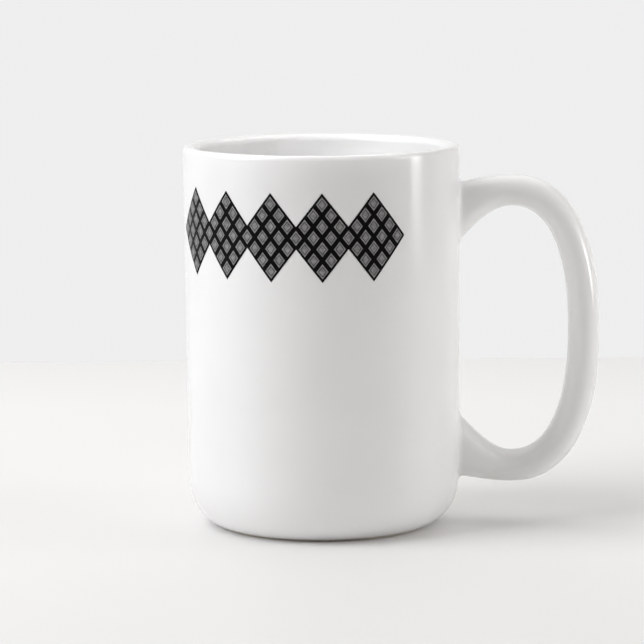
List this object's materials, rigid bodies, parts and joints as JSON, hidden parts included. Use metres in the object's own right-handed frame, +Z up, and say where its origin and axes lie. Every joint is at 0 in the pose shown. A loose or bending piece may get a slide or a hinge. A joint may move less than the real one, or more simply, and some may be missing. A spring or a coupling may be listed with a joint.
{
  "type": "coffee mug",
  "caption": "Tall straight-sided glazed mug with a rounded lip, a bevelled lower corner over a bare foot ring, an ear handle and a dark printed row of lozenges.",
  "frame": {"origin": "middle of the mug's whole footprint, cup and handle together, on the table; the cup's axis stands 21.5 mm to the -X side of it", "axes": "+X from the cup towards the handle, +Z up, -Y towards the side that carries the middle of the print"},
  "size_m": [0.128, 0.0851, 0.1175],
  "materials": {
    "stoneware": "matte",
    "slip": "matte",
    "white_glaze": "gloss",
    "print": "gloss"
  },
  "bodies": {
    "root": {"cup_body": "stoneware", "handle": "stoneware", "upper_slip_joint": "slip", "lower_slip_joint": "slip", "inner_glaze": "white_glaze", "outer_glaze": "white_glaze", "handle_glaze": "white_glaze", "base_glaze": "white_glaze", "print_film": "print"}
  },
  "joints": []
}
